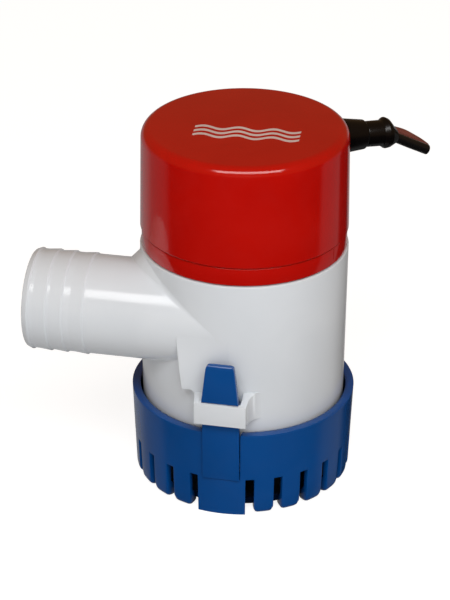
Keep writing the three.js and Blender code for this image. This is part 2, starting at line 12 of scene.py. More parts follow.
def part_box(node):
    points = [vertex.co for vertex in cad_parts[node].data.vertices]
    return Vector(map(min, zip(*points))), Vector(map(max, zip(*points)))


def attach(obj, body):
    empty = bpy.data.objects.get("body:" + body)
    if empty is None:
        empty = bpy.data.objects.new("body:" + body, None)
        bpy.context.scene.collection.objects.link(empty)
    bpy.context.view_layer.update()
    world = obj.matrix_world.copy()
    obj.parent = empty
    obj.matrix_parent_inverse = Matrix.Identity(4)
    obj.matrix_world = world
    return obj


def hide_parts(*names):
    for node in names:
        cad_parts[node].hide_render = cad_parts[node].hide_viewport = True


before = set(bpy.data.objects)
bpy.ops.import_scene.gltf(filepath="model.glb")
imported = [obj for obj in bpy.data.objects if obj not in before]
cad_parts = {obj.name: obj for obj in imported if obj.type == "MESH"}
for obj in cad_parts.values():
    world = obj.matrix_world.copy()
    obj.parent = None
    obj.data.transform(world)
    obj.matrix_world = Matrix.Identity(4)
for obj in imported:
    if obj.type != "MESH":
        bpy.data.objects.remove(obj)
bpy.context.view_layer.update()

# ---- Camera, lights and floor ----
# The pump stands on a pale seamless floor and is seen from above and a little right of its front
# latch, through a long lens. A large softbox lights it from above the front, and a weaker one from
# low in front lifts the shade without showing as a reflection.

MM = 0.001

scene = bpy.context.scene
scene.view_settings.view_transform = "Standard"
scene.view_settings.look = "None"

view_azimuth = math.radians(11.51)
view_elevation = math.radians(27.85)
view_roll = math.radians(0.29)
view_distance = 729.95 * MM
view_target = Vector((-5.39, -1.10, 53.88)) * MM

towards_camera = Vector(
    (
        math.sin(view_azimuth) * math.cos(view_elevation),
        -math.cos(view_azimuth) * math.cos(view_elevation),
        math.sin(view_elevation),
    )
)
lens = bpy.data.cameras.new("camera")
lens.lens = 149.94
lens.sensor_width = 36
lens.clip_start = 0.05
camera = bpy.data.objects.new("camera", lens)
camera.location = view_target + towards_camera * view_distance
camera.rotation_mode = "QUATERNION"
camera.rotation_quaternion = (-towards_camera).to_track_quat("-Z", "Y") @ Quaternion((0, 0, 1), view_roll)
scene.collection.objects.link(camera)
scene.camera = camera


light_aim = Vector((0, 0, 0.06))


def softbox(name, azimuth, elevation, distance, width, height, watts):
    """A softbox aimed at the pump. Angles are in degrees, from the front, and sizes are in metres."""
    light = bpy.data.lights.new(name, "AREA")
    light.shape = "RECTANGLE"
    light.size = width
    light.size_y = height
    light.energy = watts
    turn = math.radians(azimuth)
    rise = math.radians(elevation)
    away = Vector((math.sin(turn) * math.cos(rise), -math.cos(turn) * math.cos(rise), math.sin(rise)))
    box = bpy.data.objects.new(name, light)
    box.location = light_aim + away * distance
    box.rotation_euler = away.to_track_quat("Z", "Y").to_euler()
    scene.collection.objects.link(box)
    return box


softbox("front_softbox", 16, 52, 0.80, 0.88, 0.28, 5.2)
low_fill = softbox("low_fill", 14, 14, 0.90, 1.00, 0.34, 1.8)
low_fill.visible_glossy = False


def node(tree, kind, inputs, **settings):
    """Adds a shader node. Each input is a value, or another node's output to join to it."""
    made = tree.nodes.new("ShaderNode" + kind)
    for key, value in settings.items():
        setattr(made, key, value)
    for key, value in inputs.items():
        if isinstance(value, bpy.types.NodeSocket):
            tree.links.new(value, made.inputs[key])
        else:
            made.inputs[key].default_value = value
    return made


def ramp(tree, factor, stops):
    """A colour ramp whose stops are (place, grey level or colour)."""
    made = node(tree, "ValToRGB", {"Fac": factor})
    band = made.color_ramp
    while len(band.elements) < len(stops):
        band.elements.new(0.5)
    for element, (place, colour) in zip(band.elements, stops):
        element.position = place
        element.color = (*colour, 1) if isinstance(colour, tuple) else (colour, colour, colour, 1)
    return made.outputs["Color"]


# The room is dark in front and light behind, with a warm ceiling. A darker gap in the right wall
# shapes the reflection down the right of the pump.
left_stops = [(0.49, 0.0), (0.56, 0.18), (0.75, 0.20), (0.82, 0.34)]
right_stops = [(0.49, 0.0), (0.53, 0.18), (0.755, 0.20), (0.775, 0.01), (0.90, 0.01), (0.93, 0.42)]
ceiling = (0.20, 0.115, 0.05, 1)

world = bpy.data.worlds.new("studio")
world.use_nodes = True
room = world.node_tree
heading = room.nodes.new("ShaderNodeTexCoord").outputs["Generated"]
turned = node(room, "Mapping", {"Vector": heading, "Rotation": (0, 0, -view_azimuth)}).outputs["Vector"]
axes = node(room, "SeparateXYZ", {"Vector": turned}).outputs
behind = node(room, "MapRange", {"Value": axes["Y"], "From Min": -1.0}).outputs["Result"]
left_wall = ramp(room, behind, left_stops)
right_wall = ramp(room, behind, right_stops)
to_right = node(room, "Math", {0: axes["X"], 1: 0.0}, operation="GREATER_THAN").outputs["Value"]
walls = node(room, "MixRGB", {"Fac": to_right, "Color1": left_wall, "Color2": right_wall}).outputs["Color"]
above = node(room, "MapRange", {"Value": axes["Z"], "From Min": -0.1, "From Max": 0.1}).outputs["Result"]
glow = node(room, "MixRGB", {"Fac": above, "Color1": walls, "Color2": ceiling}).outputs["Color"]
room.links.new(glow, room.nodes["Background"].inputs["Color"])
scene.world = world


def new_material(name):
    material = bpy.data.materials.new(name)
    material.use_nodes = True
    tree = material.node_tree
    return material, tree, tree.nodes["Principled BSDF"]


def paper(name, dark, light, glow):
    """Matt white backdrop paper, lit evenly from behind."""
    material, tree, surface = new_material(name)
    place = tree.nodes.new("ShaderNodeTexCoord").outputs["Object"]
    fibre = node(tree, "TexNoise", {"Vector": place, "Scale": 900.0, "Detail": 2.0}).outputs["Fac"]
    tree.links.new(ramp(tree, fibre, [(0.0, dark), (1.0, light)]), surface.inputs["Base Color"])
    surface.inputs["Roughness"].default_value = 0.9
    surface.inputs["Specular IOR Level"].default_value = 0.1
    surface.inputs["Emission Color"].default_value = (1, 1, 1, 1)
    surface.inputs["Emission Strength"].default_value = glow
    return material


def floor_sheet(name, height, material):
    """A level sheet, 8 m across, that reflections don't show."""
    bm = bmesh.new()
    level = Matrix.Translation((0, 0, height))
    bmesh.ops.create_grid(bm, x_segments=1, y_segments=1, size=4.0, matrix=level)
    mesh = bpy.data.meshes.new(name)
    bm.to_mesh(mesh)
    bm.free()
    mesh.materials.append(material)
    sheet = bpy.data.objects.new(name, mesh)
    sheet.visible_glossy = False
    scene.collection.objects.link(sheet)
    return sheet


# The lit paper would brighten the pump's lower side too much, so a dimmer sheet gives the bounce.
floor = floor_sheet("floor", 0, paper("lit_paper", 0.30, 0.33, 0.88))
floor.visible_diffuse = False
bounce = floor_sheet("bounce_sheet", -0.0005, paper("bounce_paper", 0.48, 0.50, 0.48))
bounce.visible_camera = False

# ---- Strainer base ----
# The strainer is a blue polypropylene cup, moulded in one piece. Its lower wall is cut into teeth
# that keep debris out, and two screws through its floor hold it to the hull.


def reach(name):
    """The lowest and highest corner of a CAD node, in millimetres."""
    low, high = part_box(name)
    return Vector(low) / MM, Vector(high) / MM


def rounded(corners, steps=5):
    """An outline whose corners, (x, y, radius), are rounded. A corner without a radius stays sharp."""
    outline = []
    for i, corner in enumerate(corners):
        point = Vector(corner[:2])
        radius = corner[2] if len(corner) > 2 else 0
        if not radius:
            outline.append(point)
            continue
        back = Vector(corners[i - 1][:2]) - point
        ahead = Vector(corners[(i + 1) % len(corners)][:2]) - point
        half_angle = back.angle(ahead) / 2
        run = min(radius / math.tan(half_angle), 0.48 * back.length, 0.48 * ahead.length)
        start = point + back.normalized() * run
        end = point + ahead.normalized() * run
        centre = point + (back.normalized() + ahead.normalized()).normalized() * run / math.cos(half_angle)
        sweep = (start - centre).angle_signed(end - centre)
        for step in range(steps + 1):
            outline.append(centre + Matrix.Rotation(-sweep * step / steps, 2) @ (start - centre))
    return outline


def full_turn(bm, steps):
    """Spins everything in a bmesh once round Z and closes the seam."""
    everything = bm.verts[:] + bm.edges[:]
    turn = {"cent": (0, 0, 0), "axis": (0, 0, 1), "angle": 2 * math.pi}
    bmesh.ops.spin(bm, geom=everything, steps=steps, use_merge=True, **turn)
    bmesh.ops.remove_doubles(bm, verts=bm.verts, dist=1e-4)


def spun(outline, steps=192, closed=True):
    """A bmesh of an outline of (radius, height) points, spun once round Z."""
    bm = bmesh.new()
    points = [bm.verts.new((radius, 0, height)) for radius, height in outline]
    for first, second in zip(points, points[1:]):
        bm.edges.new((first, second))
    if closed:
        bm.edges.new((points[-1], points[0]))
    full_turn(bm, steps)
    bmesh.ops.recalc_face_normals(bm, faces=bm.faces)
    return bm


def box_shape(low, high):
    """A bmesh of a box between two corners."""
    bm = bmesh.new()
    middle = (Vector(low) + Vector(high)) / 2
    size = Vector(high) - Vector(low)
    bmesh.ops.create_cube(bm, size=1, matrix=Matrix.Translation(middle) @ Matrix.Diagonal((*size, 1)))
    return bm


def bevelled(bm, width, segments=3, angle=35, choose=None):
    """Rounds the edges of a bmesh that are sharper than an angle."""
    sharp = [
        edge
        for edge in bm.edges
        if edge.is_manifold
        and edge.calc_face_angle(0) > math.radians(angle)
        and (choose is None or choose((edge.verts[0].co + edge.verts[1].co) / 2))
    ]
    bmesh.ops.bevel(
        bm,
        geom=sharp,
        offset=width,
        offset_type="OFFSET",
        segments=segments,
        profile=0.5,
        affect="EDGES",
        clamp_overlap=True,
        material=-1,
    )
    return bm


def joined(*shapes):
    """One bmesh that holds several."""
    whole = bmesh.new()
    for shape in shapes:
        holder = bpy.data.meshes.new("holder")
        shape.to_mesh(holder)
        shape.free()
        whole.from_mesh(holder)
        bpy.data.meshes.remove(holder)
    return whole


def cut_away(bm, tool):
    """The first bmesh with the second cut out of it."""
    objects = []
    for shape in (bm, tool):
        holder = bpy.data.meshes.new("holder")
        shape.to_mesh(holder)
        shape.free()
        objects.append(bpy.data.objects.new("holder", holder))
        scene.collection.objects.link(objects[-1])
    boolean = objects[0].modifiers.new("cut", "BOOLEAN")
    boolean.operation = "DIFFERENCE"
    boolean.solver = "EXACT"
    boolean.object = objects[1]
    bpy.context.view_layer.update()
    cut = objects[0].evaluated_get(bpy.context.evaluated_depsgraph_get())
    result = bpy.data.meshes.new_from_object(cut)
    made = bmesh.new()
    made.from_mesh(result)
    bpy.data.meshes.remove(result)
    for holder in objects:
        mesh = holder.data
        bpy.data.objects.remove(holder)
        bpy.data.meshes.remove(mesh)
    return made


def finished(name, bm, material, body, replaces, crease=40):
    """Turns a bmesh in millimetres into a piece in metres that rides on a body."""
    bm.transform(Matrix.Scale(MM, 4))
    for face in bm.faces:
        face.smooth = True
    for edge in bm.edges:
        if edge.calc_face_angle(0) > math.radians(crease):
            edge.smooth = False
    mesh = bpy.data.meshes.new(name)
    bm.to_mesh(mesh)
    bm.free()
    mesh.materials.append(material)
    piece = bpy.data.objects.new(name, mesh)
    scene.collection.objects.link(piece)
    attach(piece, body)
    if replaces:
        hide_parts(replaces)


def moulded_plastic(name, dark, light, roughness, texture=0.05, smudge=0.06, shine=0.5, inner_shade_radii=None):
    """Moulded plastic: a faint mottle in its colour, a fine mould texture, and handling marks in its gloss.

    Where a pair of radii is given for the inner shade, the colour darkens from the outer one in to the
    inner one: painted shade inside the strainer, where little light reaches."""
    material, tree, surface = new_material(name)
    place = tree.nodes.new("ShaderNodeTexCoord").outputs["Object"]
    patches = {"Vector": place, "Scale": 38.0, "Detail": 3.0, "Distortion": 0.4}
    mottle = node(tree, "TexNoise", patches).outputs["Fac"]
    colour = ramp(tree, mottle, [(0.35, dark), (0.65, light)])
    # Painted shade: the colour darkens towards the axis, for the shade inside the strainer's wall and
    # slots.
    if inner_shade_radii:
        flat = node(tree, "VectorMath", {0: place, 1: (1, 1, 0)}, operation="MULTIPLY").outputs["Vector"]
        radius = node(tree, "VectorMath", {0: flat}, operation="LENGTH").outputs["Value"]
        inner, outer = inner_shade_radii
        fade = {"From Min": inner * MM, "From Max": outer * MM, "To Min": 0.06, "To Max": 1.0}
        unshaded_share = node(tree, "MapRange", {"Value": radius, **fade}).outputs["Result"]
        colour = node(tree, "VectorMath", {0: colour, "Scale": unshaded_share}, operation="SCALE").outputs["Vector"]
    tree.links.new(colour, surface.inputs["Base Color"])
    surface.inputs["Specular IOR Level"].default_value = shine
    handling = {"Vector": place, "Scale": 95.0, "Detail": 5.0, "Distortion": 1.2}
    marks = node(tree, "TexNoise", handling).outputs["Fac"]
    span = {"From Min": 0.35, "From Max": 0.7, "To Min": roughness, "To Max": roughness + smudge}
    gloss = node(tree, "MapRange", {"Value": marks, **span})
    tree.links.new(gloss.outputs["Result"], surface.inputs["Roughness"])
    skin = node(tree, "TexNoise", {"Vector": place, "Scale": 1500.0, "Detail": 2.0}).outputs["Fac"]
    ripple = node(tree, "TexNoise", {"Vector": place, "Scale": 120.0, "Detail": 1.0}).outputs["Fac"]
    relief = node(tree, "Math", {0: ripple, 1: 3.0, 2: skin}, operation="MULTIPLY_ADD").outputs["Value"]
    bump = node(tree, "Bump", {"Height": relief, "Strength": texture, "Distance": 0.00012})
    tree.links.new(bump.outputs["Normal"], surface.inputs["Normal"])
    return material


blue_dark = (0.0005, 0.055, 0.235)
blue_light = (0.001, 0.064, 0.27)
# The strainer's colour darkens inwards from 31.2 mm to 28.4 mm from the axis: painted shade inside its wall
# and slots.
strainer_plastic = moulded_plastic("strainer_plastic", blue_dark, blue_light, 0.20, inner_shade_radii=(28.4, 31.2))

_, strainer_high = reach("strainer_base")
rim_height = strainer_high.z
rim_radius = strainer_high.x
foot_radius = rim_radius - 1.1
wall_inside = rim_radius - 2.4
tooth_inside = 28.2
tooth_step = 4  # below this height the teeth are thicker
edge_round = 2.0
corner_round = 1.2
corner_height = 6
slot_top = 12.1
sectors = 24
columns = 16
slot_pitch = 360 / sectors
slot_half_angle = 2.4
grid_slack = 0.06  # the wall's grid makes each side of a slot this much narrower, in degrees
finger_gap_half_angle = 9.85
notch_reach = 6.2  # the notch's sides are parallel within this distance of the latch's centre line


def from_front(x, y):
    """The angle round Z from the front latch, in degrees from -180 to 180."""
    return (math.degrees(math.atan2(y, x)) + 90 + 180) % 360 - 180


def at_slot(angle):
    """True inside one of the water slots. There are none at the two latches."""
    place = round(angle / slot_pitch)
    return place % (sectors // 2) != 0 and abs(angle - place * slot_pitch) < slot_half_angle


def strainer_wall():
    """The wall as a thin spun sheet, with its slots and notches cut out, then thickened inwards."""
    levels = [edge_round * (1 - math.cos(math.radians(a))) for a in (0, 20, 38, 54, 72, 90)]
    levels += [5.4, 8.4, 11.3, slot_top, 12.9, 17, 22, 26.4, rim_height]
    bm = bmesh.new()
    start = math.radians(-90 - 180 / sectors / columns)
    points = []
    for z in levels:
        inset = edge_round - math.sqrt(max(0, edge_round**2 - max(0, edge_round - z) ** 2))
        radius = foot_radius + (rim_radius - foot_radius) * z / rim_height - inset
        points.append(bm.verts.new((radius * math.cos(start), radius * math.sin(start), z)))
    for first, second in zip(points, points[1:]):
        bm.edges.new((first, second))
    full_turn(bm, sectors * columns)

    openings = []
    for face in bm.faces:
        middle = face.calc_center_median()
        angle = from_front(middle.x, middle.y)
        off_latch = min(abs(angle), 180 - abs(angle))
        in_slot = middle.z < slot_top and at_slot(angle)
        in_notch = middle.z > slot_top and off_latch < finger_gap_half_angle
        if in_slot or in_notch:
            openings.append(face)
    bmesh.ops.delete(bm, geom=openings, context="FACES")
    # The corners of the teeth are rounded, except on the two wide teeth, which end square.
    for vert in bm.verts:
        angle = from_front(vert.co.x, vert.co.y)
        off_latch = min(abs(angle), 180 - abs(angle))
        past_slot = abs(angle - round(angle / slot_pitch) * slot_pitch) - slot_half_angle + grid_slack
        from_edge = past_slot * math.radians(1) * foot_radius
        if off_latch > slot_pitch and vert.co.z < corner_height and from_edge < corner_round:
            short = corner_round - max(0, from_edge)
            lift = corner_round - math.sqrt(max(0, corner_round**2 - short**2))
            vert.co.z += lift * (1 - vert.co.z / corner_height)
        if off_latch < slot_pitch and vert.co.z < edge_round:
            square = foot_radius + (rim_radius - foot_radius) * vert.co.z / rim_height
            stretch = square / math.hypot(vert.co.x, vert.co.y)
            vert.co.x *= stretch
            vert.co.y *= stretch
    extruded = bmesh.ops.extrude_face_region(bm, geom=bm.faces[:])
    for vert in extruded["geom"]:
        if isinstance(vert, bmesh.types.BMVert):
            inside = tooth_inside if vert.co.z < tooth_step else wall_inside
            flat = Vector((vert.co.x, vert.co.y, 0)).normalized() * inside
            if abs(vert.co.x) < notch_reach and vert.co.z > slot_top - 0.1:
                across = math.sqrt(inside**2 - vert.co.x**2)
                flat = Vector((vert.co.x, math.copysign(across, vert.co.y), 0))
            vert.co.x = flat.x
            vert.co.y = flat.y
    bmesh.ops.recalc_face_normals(bm, faces=bm.faces)
    return bevelled(bm, 0.17, segments=2, angle=50)


def strainer_floor():
    """The floor, with a foot in its middle and two screw holes."""
    low = 1.9
    high = 3.9
    foot = 7.0
    rim = tooth_inside + 0.3
    hole = 2.2
    hole_at = 17.0
    plate = rounded([(0, 0), (foot, 0, 0.4), (foot, low, 0.6), (rim, low), (rim, high), (0, high)])
    disc = spun(plate, steps=sectors * 4, closed=False)
    holes = bmesh.new()
    for side in (-1, 1):
        shift = Matrix.Translation((side * hole_at, 0, 3))
        bmesh.ops.create_cone(
            holes, cap_ends=True, segments=32, radius1=hole, radius2=hole, depth=8, matrix=shift
        )
    return cut_away(disc, holes)


def strainer_rests():
    """Four ribs inside the wall that the pump's body stands on."""
    half_width = 1
    low = (26.5, -half_width, 3.4)
    high = (wall_inside + 0.4, half_width, 12.7)
    rests = []
    for turn in (37.5, 142.5, 217.5, 322.5):
        rest = bevelled(box_shape(low, high), 0.25)
        rest.transform(Matrix.Rotation(math.radians(turn), 4, "Z"))
        rests.append(rest)
    return joined(*rests)


finished(
    "strainer_moulding",
    joined(strainer_wall(), strainer_floor(), strainer_rests()),
    strainer_plastic,
    "strainer",
    "strainer_base",
)

# ---- Snap latches ----
# Each latch is a springy finger, moulded with the strainer, that rises through a loop on the body.
# Its hook holds the pump down until the tip is pressed in.

blue_plastic = moulded_plastic("blue_plastic", blue_dark, blue_light, 0.20)


def split(bm, point, normal):
    """Adds edges where a plane meets a bmesh."""
    parts = bm.verts[:] + bm.edges[:] + bm.faces[:]
    bmesh.ops.bisect_plane(bm, geom=parts, plane_co=point, plane_no=normal)


finger_low, finger_high = reach("latch_front")
finger_half = (finger_high.x - finger_low.x) / 2 + 0.22
finger_root = finger_low.z - 0.3
hook_level = 38.3
tip_half = 3.95
tip_round = 1.5


def latch_finger():
    """The front finger: its side profile swept across, then tapered above the hook with a rounded tip."""
    top = finger_high.z
    outline = rounded(
        [
            (-30.9, finger_root),
            (-31.6, rim_height),
            (-31.6, 36.0, 2.0),
            (-32.8, 40.3, 2.0),
            (-33.0, top, 0.8),
            (-34.7, top, 0.9),
            (-34.6, hook_level, 0.25),
            (-33.2, hook_level, 0.3),
            (-33.2, rim_height, 4.0),
            (-32.5, finger_root),
        ],
        steps=4,
    )
    bm = bmesh.new()
    face = bm.faces.new([bm.verts.new((-finger_half, y, z)) for y, z in outline])
    swept = bmesh.ops.extrude_face_region(bm, geom=[face])
    moved = [item for item in swept["geom"] if isinstance(item, bmesh.types.BMVert)]
    bmesh.ops.translate(bm, verts=moved, vec=(2 * finger_half, 0, 0))
    for level in (hook_level + 0.1, 44, top - tip_round, top - 1.1, top - 0.75, top - 0.45, top - 0.2):
        split(bm, (0, 0, level), (0, 0, 1))
    for vert in bm.verts:
        rise = max(0, (vert.co.z - hook_level) / (top - hook_level))
        vert.co.x *= 1 + (tip_half / finger_half - 1) * rise
    for vert in bm.verts:
        over = min(tip_round, max(0, vert.co.z - top + tip_round))
        vert.co.x -= math.copysign(tip_round - math.sqrt(tip_round**2 - over**2), vert.co.x)
    bmesh.ops.recalc_face_normals(bm, faces=bm.faces)
    return bevelled(bm, 0.3, segments=3, angle=40)


for end, turn in (("front", 0), ("rear", math.pi)):
    finger = latch_finger()
    finger.transform(Matrix.Rotation(turn, 4, "Z"))
    finished(f"latch_finger_{end}", finger, blue_plastic, f"{end}_latch", f"latch_{end}")

# ---- Pump body ----
# The body is one white ABS moulding: a water jacket round the motor, the ridged hose outlet at a
# tangent to it, a flat wall under the outlet, and a loop each side for the latches.

white_dark = (0.622, 0.682, 0.742)
white_light = (0.655, 0.714, 0.772)
white_plastic = moulded_plastic("white_plastic", white_dark, white_light, 0.13, texture=0.015)

body_low, body_high = reach("pump_body")
outlet_end = body_low.x
jacket_radius = body_high.x
jacket_inside = jacket_radius - 2.2
jacket_taper = 0.5
outlet_y = -15.4
outlet_z = 56.3
outlet_radius = 14.48
outlet_bore = 12.3
towards_pump = Matrix.Rotation(math.pi / 2, 4, "Y")


def jacket():
    """The tapered wall round the motor, with the way into the outlet cut through it."""
    low, high = body_low.z, body_high.z
    outline = [
        (jacket_inside, low, 0.4),
        (jacket_radius - jacket_taper, low, 0.5),
        (jacket_radius, high, 0.35),
        (jacket_inside, high, 0.25),
    ]
    shell = spun(rounded(outline, steps=3), steps=256)
    bore = spun([(0, 0), (outlet_bore, 0), (outlet_bore, 60), (0, 60)], steps=96, closed=False)
    bore.transform(Matrix.Translation((outlet_end - 1, outlet_y, outlet_z)) @ towards_pump)
    return cut_away(shell, bore)


def hose_outlet():
    """The outlet pipe, with four saw-tooth ridges that grip the hose."""
    crest = 14.82
    ridges = (1.5, 6.8, 11.6, 17.7)
    slope = 3.6
    drop = 0.5
    length = 58
    outline = [(outlet_bore, 0, 0.5), (14.2, 0, 0.5)]
    for along in ridges:
        if along != ridges[0]:
            outline.append((outlet_radius, along - slope))
        outline.append((crest, along))
        outline.append((outlet_radius, along + drop))
    outline += [(outlet_radius, length), (outlet_bore, length)]
    pipe = spun(rounded(outline, steps=4), steps=144)
    for edge in pipe.edges:
        if 1 < edge.verts[0].co.z < 30 and edge.calc_face_angle(0) > math.radians(4):
            edge.smooth = False
    pipe.transform(Matrix.Translation((outlet_end, outlet_y, outlet_z)) @ towards_pump)
    inside = jacket_inside + 0.9
    middle = spun([(0, 0), (inside, 0), (inside, 100), (0, 100)], steps=192, closed=False)
    return cut_away(pipe, middle)


def outlet_fillet():
    """The rounded corner between the outlet and the jacket, wider at the top than at the bottom."""
    bm = bmesh.new()
    sections = 144
    arc_steps = 7
    buried = 0.4
    fillet_at_side = 1.6
    fillet_change = 1.1
    rings = []
    for section in range(sections):
        turn = 2 * math.pi * section / sections
        fillet = fillet_at_side + fillet_change * math.sin(turn)
        y = outlet_y + (outlet_radius + fillet) * math.cos(turn)
        z = outlet_z + (outlet_radius + fillet) * math.sin(turn)
        level = (z - body_low.z) / (body_high.z - body_low.z)
        radius = jacket_radius - jacket_taper * (1 - level)
        x = -math.sqrt(max(0.2, (radius + fillet) ** 2 - y**2))
        centre = Vector((x, y, z))
        to_jacket = -Vector((x, y, 0)).normalized()
        to_pipe = -Vector((0, math.cos(turn), math.sin(turn)))
        ring = []
        for step in range(arc_steps + 1):
            share = step / arc_steps
            ring.append(centre + to_jacket.slerp(to_pipe, share, to_jacket) * fillet)
        ring.append(ring[-1] + to_pipe * buried)
        ring.append(ring[0] + to_jacket * buried)
        rings.append([bm.verts.new(point) for point in ring])
    for ring, following in zip(rings, rings[1:] + rings[:1]):
        count = len(ring)
        for i in range(count):
            bm.faces.new((ring[i], ring[(i + 1) % count], following[(i + 1) % count], following[i]))
    parts = bm.verts[:] + bm.edges[:] + bm.faces[:]
    trim = {"plane_co": (0, 0, body_high.z - 0.2), "plane_no": (0, 0, 1)}
    bmesh.ops.bisect_plane(bm, geom=parts, clear_outer=True, **trim)
    bmesh.ops.holes_fill(bm, edges=[edge for edge in bm.edges if edge.is_boundary], sides=0)
    bmesh.ops.recalc_face_normals(bm, faces=bm.faces)
    return bm


def tangent_wall():
    """The flat wall that runs down from the front of the outlet to the front loop."""
    top = outlet_z
    wall_back = -24
    wall_front = -31
    side_front = -30.0
    lean = 0.085
    top_front = -29.88
    easing = 13
    outline = rounded(
        [(-13.9, top), (-11.9, 39.8, 0.6), (-8.6, 39.8, 1.4), (-8.2, 36.5, 0.3), (1.5, 36.5), (1.5, top)]
    )
    bm = bmesh.new()
    face = bm.faces.new([bm.verts.new((x, wall_back, z)) for x, z in outline])
    swept = bmesh.ops.extrude_face_region(bm, geom=[face])
    front = [item for item in swept["geom"] if isinstance(item, bmesh.types.BMVert)]
    bmesh.ops.translate(bm, verts=front, vec=(0, wall_front - wall_back, 0))
    bmesh.ops.recalc_face_normals(bm, faces=bm.faces)

    def outer_edge(middle):
        return middle.y < wall_front + 0.1 and middle.x < 1 and middle.z < top - 0.1

    bevelled(bm, 0.3, segments=3, angle=50, choose=outer_edge)
    for level in range(38, 56, 2):
        split(bm, (0, 0, level), (0, 0, 1))
    for across in range(-13, 2):
        split(bm, (across, 0, 0), (1, 0, 0))
    # The face leans back a little to the left, and eases into the front of the outlet at its top.
    for vert in bm.verts:
        if vert.co.y < wall_front + 2:
            depth = vert.co.y - wall_front
            by_side = side_front - lean * max(0, -vert.co.x)
            drop = min(1, (top - vert.co.z) / easing)
            by_top = top_front + (wall_front - top_front) * drop * drop * (3 - 2 * drop)
            vert.co.y = max(by_side, by_top) + depth
    return bm


loop_front = -body_low.y
loop_low = 31.4
loop_high = 38.0
loop_left = -7.4
loop_right = 7.6


def latch_loop(left_flared):
    """A loop that a latch hooks over. Its arms flare back to the jacket, where the flat wall isn't."""
    flare = 6.4
    centre = -33.27
    sweep = math.radians(69)
    arc_steps = 8
    buried = Vector((11, -25.5))
    bar = 1.5
    arm = 1.75
    slope = 4.5
    rise = 1.9
    outline = [Vector((loop_left, -loop_front)), Vector((loop_right, -loop_front))]
    for step in range(arc_steps + 1):
        turn = math.pi - sweep * step / arc_steps
        hub = Vector((loop_right + flare, centre))
        outline.append(hub + flare * Vector((math.cos(turn), math.sin(turn))))
    outline.append(buried)
    if left_flared:
        outline.append(Vector((-buried.x, buried.y)))
        for step in range(arc_steps + 1):
            turn = sweep - sweep * step / arc_steps
            hub = Vector((loop_left - flare, centre))
            outline.append(hub + flare * Vector((math.cos(turn), math.sin(turn))))
    else:
        outline.append(Vector((loop_left - 0.9, -28)))
    bm = bmesh.new()
    face = bm.faces.new([bm.verts.new((x, y, loop_low)) for x, y in outline])
    swept = bmesh.ops.extrude_face_region(bm, geom=[face])
    top = [item for item in swept["geom"] if isinstance(item, bmesh.types.BMVert)]
    for vert in top:
        back = max(0, min(1, (vert.co.y + loop_front - bar) / slope))
        vert.co.z = loop_high + rise * back
    bmesh.ops.recalc_face_normals(bm, faces=bm.faces)
    bmesh.ops.triangulate(bm, faces=[f for f in bm.faces if f.normal.z > 0.5])
    window = box_shape((loop_left + arm, -loop_front + bar, 20), (loop_right - arm, -20, 50))
    upright = [e for e in window.edges if abs(e.verts[0].co.z - e.verts[1].co.z) > 1]
    bmesh.ops.bevel(
        window, geom=upright, offset=0.5, segments=3, profile=0.5, affect="EDGES", material=-1
    )
    made = cut_away(bm, window)
    bmesh.ops.dissolve_limit(made, angle_limit=math.radians(1), verts=made.verts, edges=made.edges)
    return bevelled(made, 0.28, segments=3, angle=40, choose=lambda middle: middle.y < -29.5)


rear_loop = latch_loop(True)
rear_loop.transform(Matrix.Rotation(math.pi, 4, "Z"))
finished(
    "pump_body_moulding",
    joined(jacket(), hose_outlet(), outlet_fillet(), tangent_wall(), latch_loop(False), rear_loop),
    white_plastic,
    "pump",
    "pump_body",
    crease=33,
)

# ---- Inlet cover and impeller ----
# The cover closes the bottom of the body round the inlet eye. The impeller above it is a natural
# acetal moulding, pressed on the motor's shaft, with curved vanes under a round plate.

cover_low, cover_high = reach("inlet_cover")
cover_radius = cover_high.x


def inlet_cover():
    eye = 9.5
    outline = [
        (eye, cover_low.z, 0.9),
        (cover_radius, cover_low.z, 0.3),
        (cover_radius, cover_high.z, 0.2),
        (eye, cover_high.z, 0.3),
    ]
    return spun(rounded(outline, steps=4), steps=144)


finished("inlet_cover_plate", inlet_cover(), white_plastic, "pump", "inlet_cover")

acetal = moulded_plastic("acetal", (0.55, 0.55, 0.50), (0.62, 0.62, 0.57), 0.38)
impeller_low, impeller_high = reach("impeller")
impeller_radius = impeller_high.x


def impeller_vane():
    """One vane: a ribbon that curves back from the hub as it runs out."""
    thickness = 1.4
    height = 7.4
    hub = 3.8
    set_back = 0.2  # from the plate's rim
    sweep = math.radians(55)
    steps = 14
    bm = bmesh.new()
    edges = []
    for side in (-1, 1):
        edge = []
        for step in range(steps + 1):
            share = step / steps
            radius = hub + (impeller_radius - hub - set_back) * share
            angle = sweep * share + side * thickness / 2 / radius
            edge.append((radius * math.cos(angle), radius * math.sin(angle)))
        edges.append(edge)
    outline = edges[0] + edges[1][::-1]
    face = bm.faces.new([bm.verts.new((x, y, impeller_low.z)) for x, y in outline])
    swept = bmesh.ops.extrude_face_region(bm, geom=[face])
    top = [item for item in swept["geom"] if isinstance(item, bmesh.types.BMVert)]
    bmesh.ops.translate(bm, verts=top, vec=(0, 0, height))
    bmesh.ops.recalc_face_normals(bm, faces=bm.faces)
    return bevelled(bm, 0.25, segments=2, angle=40)


def impeller():
    """The hub and plate, spun in one, with six vanes under the plate."""
    plate_low = 23.0
    plate_high = 24.6
    hub = 4.8
    bore = 1.9
    outline = [
        (bore, impeller_low.z, 0.3),
        (hub, impeller_low.z, 0.5),
        (hub, plate_low, 0.8),
        (impeller_radius, plate_low, 0.3),
        (impeller_radius, plate_high, 0.3),
        (hub, plate_high, 0.2),
        (hub, impeller_high.z, 0.3),
        (bore, impeller_high.z, 0.2),
    ]
    shapes = [spun(rounded(outline, steps=3), steps=128)]
    for vane in range(6):
        blade = impeller_vane()
        blade.transform(Matrix.Rotation(math.radians(60 * vane), 4, "Z"))
        shapes.append(blade)
    return joined(*shapes)


